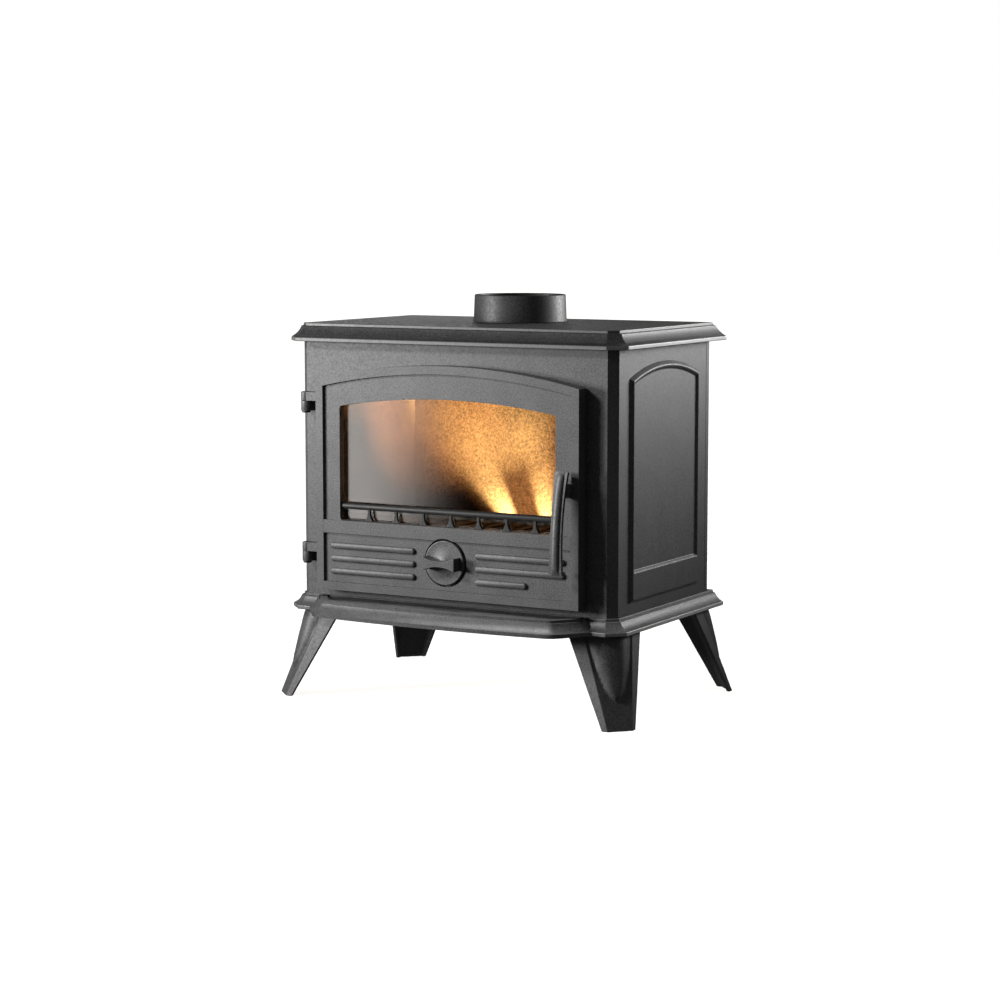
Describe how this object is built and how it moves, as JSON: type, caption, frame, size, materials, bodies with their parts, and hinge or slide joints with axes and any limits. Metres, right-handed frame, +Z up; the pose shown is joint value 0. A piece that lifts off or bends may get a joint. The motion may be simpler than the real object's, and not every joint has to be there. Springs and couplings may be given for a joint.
{
  "type": "wood burning stove",
  "caption": "Cast-iron wood burning stove on four splayed legs, with an arched glazed door, turning latch handle, air dial, ash lip and top flue collar.",
  "frame": {"origin": "on the floor under the middle of the overall box", "axes": "+Z up, front of the stove towards -Y, +X to the right seen from the front"},
  "size_m": [0.6612, 0.486, 0.6688],
  "materials": {
    "painted_casting": "matt heat-proof paint on sand-cast iron, dark graphite",
    "bare_casting": "bare sand-cast iron, sooted",
    "steel": "plain steel fasteners and spindles",
    "sheet_metal": "pressed sheet, black",
    "handle_metal": "satin heat-proof paint",
    "glass": "clear heat-proof ceramic glass",
    "rope_seal": "knitted glass-fibre rope"
  },
  "bodies": {
    "stove": {"base_plate": "painted_casting", "top_plate": "painted_casting", "front_plate": "painted_casting", "left_side": "painted_casting", "right_side": "painted_casting", "rear_plate": "painted_casting", "rear_flue_cover": "painted_casting", "rear_cover_bar": "steel", "rear_cover_bolt": "steel", "flue_collar": "painted_casting", "collar_clips": "steel", "ash_lip": "painted_casting", "ash_lip_bolts": "steel", "leg_front_left": "painted_casting", "leg_front_right": "painted_casting", "leg_rear_left": "painted_casting", "leg_rear_right": "painted_casting", "leg_bolts": "steel", "tie_rods": "steel", "tie_rod_nuts": "steel", "bed_plate": "bare_casting", "fire_grate": "bare_casting", "ash_pan": "sheet_metal", "liner_left": "bare_casting", "liner_right": "bare_casting", "fireback": "bare_casting", "baffle_plate": "bare_casting", "log_guard": "bare_casting", "latch_keeper": "steel", "keeper_screws": "steel", "hinge_lug_upper": "painted_casting", "hinge_lug_lower": "painted_casting", "hinge_pin_upper": "steel", "hinge_pin_lower": "steel", "hinge_lug_screws": "steel"},
    "door": {"door_frame": "painted_casting", "door_glass": "glass", "glass_seal": "rope_seal", "door_seal": "rope_seal", "glass_clips": "steel", "glass_clip_screws": "steel"},
    "handle": {"handle_lever": "handle_metal", "handle_spindle": "steel", "latch_cam": "steel", "handle_nut": "steel"},
    "air_control": {"air_dial": "painted_casting", "air_spindle": "steel", "air_shutter": "steel", "air_nut": "steel"}
  },
  "joints": [
    {"name": "door_hinge", "type": "hinge", "parent": "stove", "child": "door", "pos_m": [-0.2692, -0.17303, 0.371], "axis": [0, 0, -1], "range_deg": [0, 110]},
    {"name": "handle_turn", "type": "hinge", "parent": "door", "child": "handle", "pos_m": [0.222, -0.15403, 0.3735], "axis": [0, -1, 0], "range_deg": [0, 80]},
    {"name": "air_dial_turn", "type": "hinge", "parent": "door", "child": "air_control", "pos_m": [0, -0.15403, 0.244], "axis": [0, -1, 0], "range_deg": [0, 45]}
  ]
}
